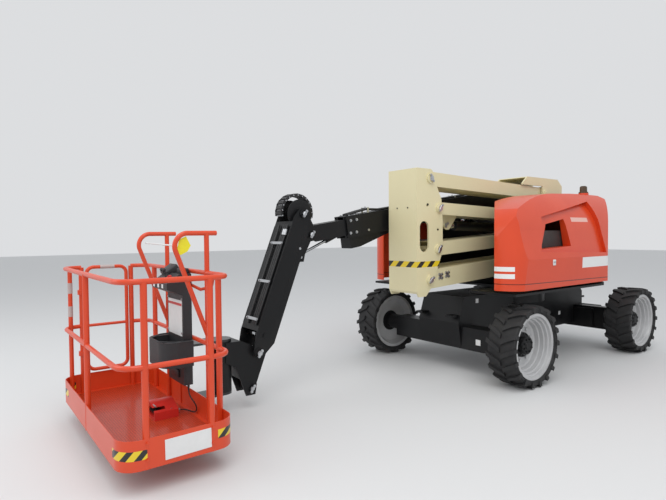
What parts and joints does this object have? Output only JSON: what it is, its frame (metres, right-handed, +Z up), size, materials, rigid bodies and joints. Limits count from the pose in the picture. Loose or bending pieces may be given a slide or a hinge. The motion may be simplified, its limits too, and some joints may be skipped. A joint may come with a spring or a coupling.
{
  "type": "articulating boom lift",
  "caption": "Self-propelled articulating boom lift: wheeled chassis, slewing turntable, parallel-arm tower, telescoping boom, jib and railed work platform.",
  "frame": {"origin": "on the ground, under the middle of the machine's length and width at rest", "axes": "+X towards the steered axle and counterweight, away from the platform; +Y to the left of that; +Z up"},
  "size_m": [6.873, 2.3704, 2.285],
  "materials": {
    "paint_orange": "orange-red gloss paint",
    "paint_cream": "cream gloss paint",
    "paint_black": "black semi-gloss paint",
    "weight_black": "black painted casting",
    "engine_iron": "dark casting",
    "tank_plastic": "black moulded tank",
    "control_grey": "grey enclosure",
    "rim_white": "pale paint",
    "tyre_rubber": "black rubber",
    "rod_chrome": "polished",
    "pedal_red": "red paint",
    "cable_rubber": "black sheath",
    "beacon_amber": "amber lens"
  },
  "bodies": {
    "chassis": {"chassis_frame": "paint_black", "steer_axle": "paint_black", "steer_cylinder": "paint_black"},
    "turntable": {"turntable_base": "paint_black", "counterweight": "weight_black", "engine": "engine_iron", "tank": "tank_plastic", "ground_controls": "control_grey"},
    "hood_right": {"hood_right": "paint_orange", "beacon": "beacon_amber"},
    "hood_left": {"hood_left": "paint_orange"},
    "lower_arm": {"lower_arm": "paint_cream"},
    "lower_link": {"lower_link": "paint_cream"},
    "front_upright": {"front_upright": "paint_cream"},
    "upper_arm": {"upper_arm": "paint_cream"},
    "upper_link": {"upper_link": "paint_cream"},
    "rear_upright": {"rear_upright": "paint_cream"},
    "tower_cylinder": {"tower_cylinder": "paint_black"},
    "tower_rod": {"tower_rod": "rod_chrome"},
    "boom_outer": {"boom_outer": "paint_black"},
    "boom_fly": {"boom_fly": "paint_black"},
    "lift_cylinder": {"lift_cylinder": "paint_black"},
    "lift_rod": {"lift_rod": "rod_chrome"},
    "jib_knuckle": {"jib_knuckle": "paint_black"},
    "level_cylinder": {"level_cylinder": "paint_black"},
    "level_rod": {"level_rod": "rod_chrome"},
    "jib_boom": {"jib_boom": "paint_black"},
    "jib_link": {"jib_link": "paint_black"},
    "jib_cylinder": {"jib_cylinder": "paint_black"},
    "jib_rod": {"jib_rod": "rod_chrome"},
    "platform_support": {"platform_support": "paint_black"},
    "platform": {"platform_frame": "paint_orange", "console": "control_grey", "footswitch": "pedal_red", "footswitch_cable": "cable_rubber"},
    "gate": {"gate": "paint_orange"},
    "knuckle_left": {"knuckle_left": "paint_black"},
    "knuckle_right": {"knuckle_right": "paint_black"},
    "tie_rod": {"tie_rod": "paint_black"},
    "steer_rod": {"steer_rod": "rod_chrome"},
    "wheel_front_left": {"rim_front_left": "rim_white", "tyre_front_left": "tyre_rubber"},
    "wheel_front_right": {"rim_front_right": "rim_white", "tyre_front_right": "tyre_rubber"},
    "wheel_rear_left": {"rim_rear_left": "rim_white", "tyre_rear_left": "tyre_rubber"},
    "wheel_rear_right": {"rim_rear_right": "rim_white", "tyre_rear_right": "tyre_rubber"}
  },
  "joints": [
    {"name": "swing", "type": "hinge", "parent": "chassis", "child": "turntable", "pos_m": [1.765, 0, 0.9], "axis": [0, 0, 1], "range_deg": [-177.5, 177.5]},
    {"name": "tower_lift", "type": "hinge", "parent": "turntable", "child": "lower_arm", "pos_m": [2.015, -0.1625, 1.222], "axis": [0, 1, 0], "range_deg": [0, 70]},
    {"name": "boom_lift", "type": "hinge", "parent": "rear_upright", "child": "boom_outer", "pos_m": [2.265, 0.2, 2.12], "axis": [0, 1, 0], "range_deg": [0, 85]},
    {"name": "telescope", "type": "slide", "parent": "boom_outer", "child": "boom_fly", "axis": [-0.989, 0, -0.1478], "range_m": [0, 2.6]},
    {"name": "jib_lift", "type": "hinge", "parent": "jib_knuckle", "child": "jib_boom", "pos_m": [-1.48869, 0.2, 1.77654], "axis": [0, 1, 0], "range_deg": [0, 144]},
    {"name": "platform_rotate", "type": "hinge", "parent": "platform_support", "child": "platform", "pos_m": [-2.285, 0.2, 0.64], "axis": [0, 0, 1], "range_deg": [-90, 90]},
    {"name": "gate_swing", "type": "hinge", "parent": "platform", "child": "gate", "pos_m": [-3.275, 0.897, 1.302], "axis": [0, 0, -1], "range_deg": [0, 85]},
    {"name": "steer", "type": "hinge", "parent": "chassis", "child": "knuckle_left", "pos_m": [3.015, 0.79, 0.42], "axis": [0, 0, 1], "range_deg": [-35, 35]},
    {"name": "hood_right_lift", "type": "hinge", "parent": "turntable", "child": "hood_right", "pos_m": [1.765, -0.522, 1.95], "axis": [-1, 0, 0], "range_deg": [0, 70]},
    {"name": "hood_left_lift", "type": "hinge", "parent": "turntable", "child": "hood_left", "pos_m": [1.765, 0.522, 1.95], "axis": [1, 0, 0], "range_deg": [0, 70]},
    {"name": "wheel_front_left_spin", "type": "hinge", "parent": "chassis", "child": "wheel_front_left", "pos_m": [0.515, 1.015, 0.42], "axis": [0, 1, 0], "continuous": true},
    {"name": "wheel_front_right_spin", "type": "hinge", "parent": "chassis", "child": "wheel_front_right", "pos_m": [0.515, -1.015, 0.42], "axis": [0, 1, 0], "continuous": true},
    {"name": "wheel_rear_left_spin", "type": "hinge", "parent": "knuckle_left", "child": "wheel_rear_left", "pos_m": [3.015, 1.015, 0.42], "axis": [0, 1, 0], "continuous": true},
    {"name": "wheel_rear_right_spin", "type": "hinge", "parent": "knuckle_right", "child": "wheel_rear_right", "pos_m": [3.015, -1.015, 0.42], "axis": [0, 1, 0], "continuous": true},
    {"name": "lower_link_turn", "type": "hinge", "parent": "turntable", "child": "lower_link", "pos_m": [2.145, -0.1625, 1.544], "axis": [0, 1, 0], "range_deg": [0, 70.01]},
    {"name": "front_upright_turn", "type": "hinge", "parent": "lower_arm", "child": "front_upright", "pos_m": [-0.18113, -0.1625, 1.09153], "axis": [0, 1, 0], "range_deg": [-70.01, 0]},
    {"name": "upper_arm_turn", "type": "hinge", "parent": "front_upright", "child": "upper_arm", "pos_m": [-0.17513, -0.1625, 2.15503], "axis": [0, 1, 0], "range_deg": [-70.01, 0]},
    {"name": "upper_link_turn", "type": "hinge", "parent": "front_upright", "child": "upper_link", "pos_m": [-0.03513, -0.1625, 1.84803], "axis": [0, 1, 0], "range_deg": [-70.01, 0]},
    {"name": "rear_upright_turn", "type": "hinge", "parent": "upper_arm", "child": "rear_upright", "pos_m": [2.02379, -0.1625, 2.08592], "axis": [0, 1, 0], "range_deg": [0, 70.01]},
    {"name": "tower_cylinder_turn", "type": "hinge", "parent": "lower_link", "child": "tower_cylinder", "pos_m": [1.63847, -0.1625, 1.63913], "axis": [0, 1, 0], "range_deg": [0, 7.71]},
    {"name": "tower_rod_slide", "type": "slide", "parent": "tower_cylinder", "child": "tower_rod", "axis": [-0.9997, 0, 0.0228], "range_m": [0, 0.79422]},
    {"name": "lift_cylinder_turn", "type": "hinge", "parent": "rear_upright", "child": "lift_cylinder", "pos_m": [2.245, 0.2, 1.34], "axis": [0, 1, 0], "range_deg": [0, 56.84]},
    {"name": "lift_rod_slide", "type": "slide", "parent": "lift_cylinder", "child": "lift_rod", "axis": [-0.9396, 0, 0.3422], "range_m": [0, 0.74201]},
    {"name": "knuckle_turn", "type": "hinge", "parent": "boom_fly", "child": "jib_knuckle", "pos_m": [-1.36469, 0.2, 1.57754], "axis": [0, 1, 0], "range_deg": [-85.01, 0]},
    {"name": "level_cylinder_turn", "type": "hinge", "parent": "boom_fly", "child": "level_cylinder", "pos_m": [-0.72331, 0.2, 1.68351], "axis": [0, 1, 0], "range_deg": [-6.94, 0]},
    {"name": "level_rod_slide", "type": "slide", "parent": "level_cylinder", "child": "level_rod", "axis": [-0.9185, 0, -0.3955], "range_m": [-0.33785, 0]},
    {"name": "jib_link_turn", "type": "hinge", "parent": "jib_knuckle", "child": "jib_link", "pos_m": [-1.53069, 0.2, 1.44054], "axis": [0, 1, 0], "range_deg": [0, 144.01]},
    {"name": "platform_level_turn", "type": "hinge", "parent": "jib_boom", "child": "platform_support", "pos_m": [-1.98713, 0.2, 0.51117], "axis": [0, 1, 0], "range_deg": [-144.01, 0]},
    {"name": "jib_cylinder_turn", "type": "hinge", "parent": "jib_knuckle", "child": "jib_cylinder", "pos_m": [-1.53069, 0.2, 1.44054], "axis": [0, 1, 0], "range_deg": [0, 143.32]},
    {"name": "jib_rod_slide", "type": "slide", "parent": "jib_cylinder", "child": "jib_rod", "axis": [-0.45, 0, -0.893], "range_m": [0, 0.64404]},
    {"name": "steer_right_turn", "type": "hinge", "parent": "chassis", "child": "knuckle_right", "pos_m": [3.015, -0.79, 0.42], "axis": [0, 0, 1], "range_deg": [-35.01, 35.01]},
    {"name": "tie_rod_turn", "type": "hinge", "parent": "knuckle_left", "child": "tie_rod", "pos_m": [3.215, 0.79, 0.3], "axis": [0, 0, 1], "range_deg": [-35.01, 35.01]},
    {"name": "steer_rod_slide", "type": "slide", "parent": "chassis", "child": "steer_rod", "axis": [0, 1, 0], "range_m": [-0.11482, 0.11482]}
  ],
  "couplings": [
    {"joint": "lower_link_turn", "follows": "tower_lift", "ratio": 1},
    {"joint": "front_upright_turn", "follows": "tower_lift", "ratio": -1},
    {"joint": "upper_arm_turn", "follows": "tower_lift", "ratio": -1},
    {"joint": "upper_link_turn", "follows": "tower_lift", "ratio": -1},
    {"joint": "rear_upright_turn", "follows": "tower_lift", "ratio": 1},
    {"joint": "tower_cylinder_turn", "follows": "tower_lift", "ratio": 0.11},
    {"joint": "tower_rod_slide", "follows": "tower_lift", "m_per_rad": 0.65},
    {"joint": "lift_cylinder_turn", "follows": "boom_lift", "ratio": 0.66855},
    {"joint": "lift_rod_slide", "follows": "boom_lift", "m_per_rad": 0.5001},
    {"joint": "knuckle_turn", "follows": "boom_lift", "ratio": -1},
    {"joint": "level_cylinder_turn", "follows": "boom_lift", "ratio": -0.081542},
    {"joint": "level_rod_slide", "follows": "boom_lift", "m_per_rad": -0.22767},
    {"joint": "jib_link_turn", "follows": "jib_lift", "ratio": 1},
    {"joint": "platform_level_turn", "follows": "jib_lift", "ratio": -1},
    {"joint": "jib_cylinder_turn", "follows": "jib_lift", "ratio": 0.99523},
    {"joint": "jib_rod_slide", "follows": "jib_lift", "m_per_rad": 0.25621},
    {"joint": "steer_right_turn", "follows": "steer", "ratio": 1},
    {"joint": "tie_rod_turn", "follows": "steer", "ratio": -1},
    {"joint": "steer_rod_slide", "follows": "steer", "m_per_rad": 0.18779}
  ]
}
